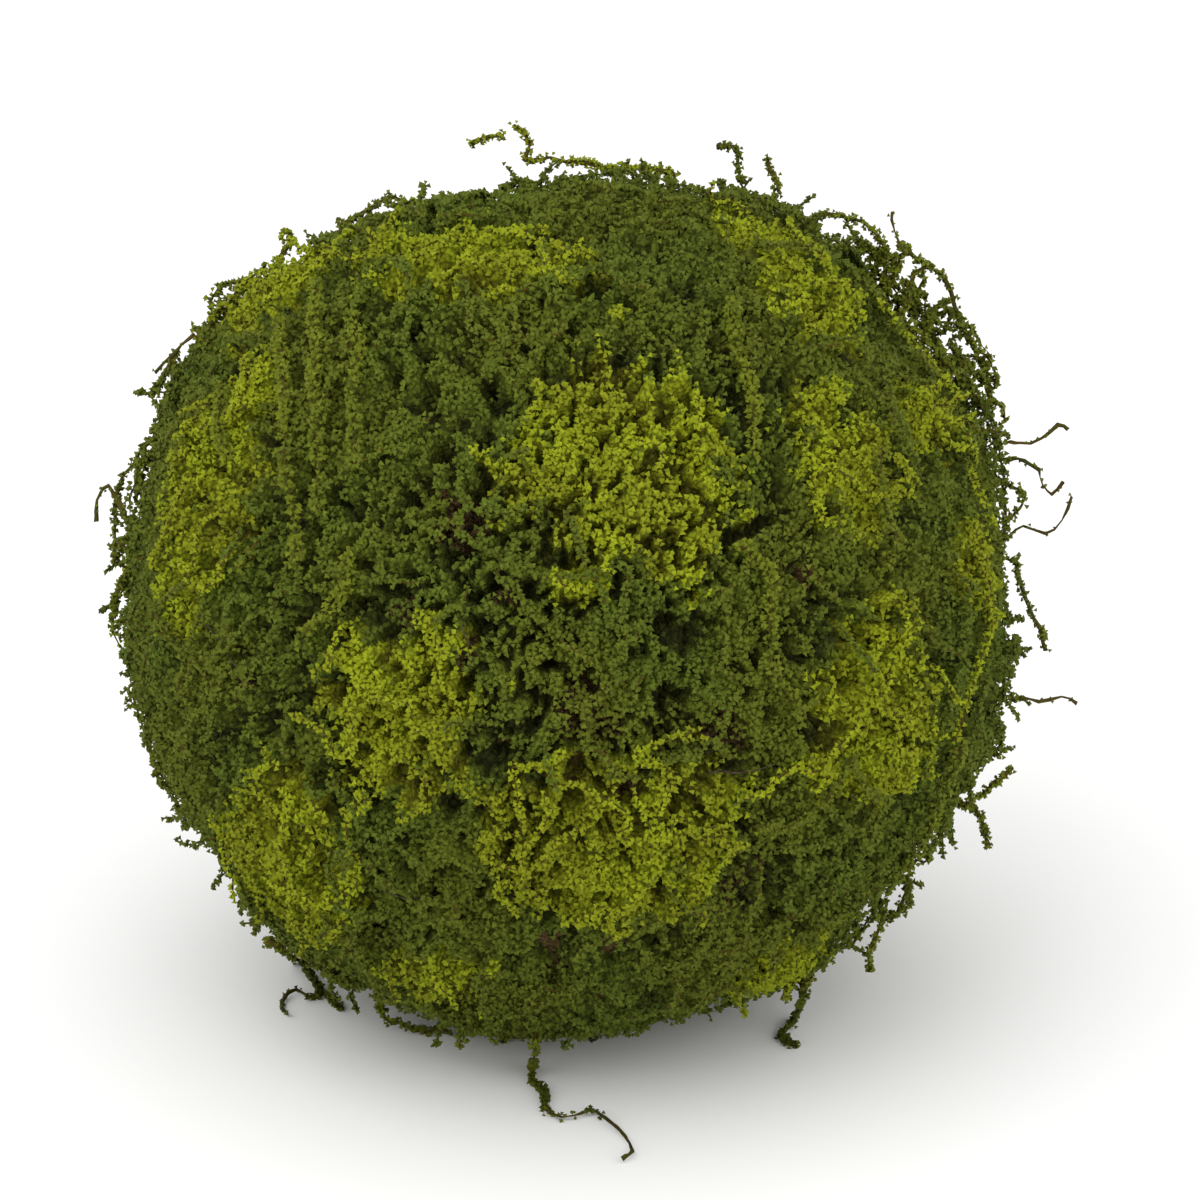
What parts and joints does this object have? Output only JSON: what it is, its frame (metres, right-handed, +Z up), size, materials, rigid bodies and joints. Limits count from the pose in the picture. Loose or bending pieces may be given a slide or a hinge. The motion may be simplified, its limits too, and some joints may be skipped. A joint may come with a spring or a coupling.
{
  "type": "moss clump",
  "caption": "Round clump of stringy dark green moss on a brown fibre core, with yellow-green tufts and loose curly stems, resting on a flat cut base.",
  "frame": {"origin": "middle of the flat cut base, on the surface that the clump rests on", "axes": "+Z up out of the base, -Y towards the front, which has the long strand on the floor, +X to the right seen from the front"},
  "size_m": [0.1662, 0.1534, 0.1445],
  "materials": {
    "dark_moss": "matte, dark green crumbed stems",
    "light_moss": "matte, yellow-green crumbed stems",
    "brown_fibre": "matte, brown root fibre and litter",
    "moss_stem": "matte, olive stems with leafy crumbs"
  },
  "bodies": {
    "root": {"back_strand_high": "moss_stem", "back_strand_left": "moss_stem", "back_strand_low": "moss_stem", "back_strand_middle": "moss_stem", "back_strand_right": "moss_stem", "crown_strand": "moss_stem", "crown_strand_side": "moss_stem", "dark_moss_mat": "dark_moss", "fibre_core": "brown_fibre", "floor_strand_front": "moss_stem", "floor_strand_left": "moss_stem", "floor_strand_left_tip": "moss_stem", "floor_strand_right": "moss_stem", "left_brow_hook": "moss_stem", "left_loop": "moss_stem", "left_loop_hanging": "moss_stem", "left_shoulder_strand": "moss_stem", "left_shoulder_twig": "moss_stem", "low_right_loop": "moss_stem", "low_right_strand": "moss_stem", "net_cross_high": "moss_stem", "net_cross_low": "moss_stem", "net_cross_middle": "moss_stem", "net_inner_strand": "moss_stem", "net_outer_strand": "moss_stem", "right_arch": "moss_stem", "right_hanging_strand": "moss_stem", "right_level_twig": "moss_stem", "right_spike": "moss_stem", "right_twig_curled": "moss_stem", "right_twig_high": "moss_stem", "right_twig_low": "moss_stem", "sprig_right_down": "moss_stem", "sprig_right_up": "moss_stem", "top_hook_left": "moss_stem", "top_hook_right": "moss_stem", "top_left_arch": "moss_stem", "tuft_back_centre": "light_moss", "tuft_back_high": "light_moss", "tuft_back_left": "light_moss", "tuft_back_low_left": "light_moss", "tuft_back_low_right": "light_moss", "tuft_back_right": "light_moss", "tuft_base_left": "light_moss", "tuft_base_right": "light_moss", "tuft_centre": "light_moss", "tuft_crown_left": "light_moss", "tuft_far_right": "light_moss", "tuft_far_right_upper": "light_moss", "tuft_left_streak": "light_moss", "tuft_lower_centre": "light_moss", "tuft_lower_left": "light_moss", "tuft_mid_left": "light_moss", "tuft_right": "light_moss", "tuft_shoulder_left": "light_moss", "tuft_shoulder_right": "light_moss", "tuft_side_left": "light_moss", "tuft_upper_right": "light_moss"}
  },
  "joints": []
}
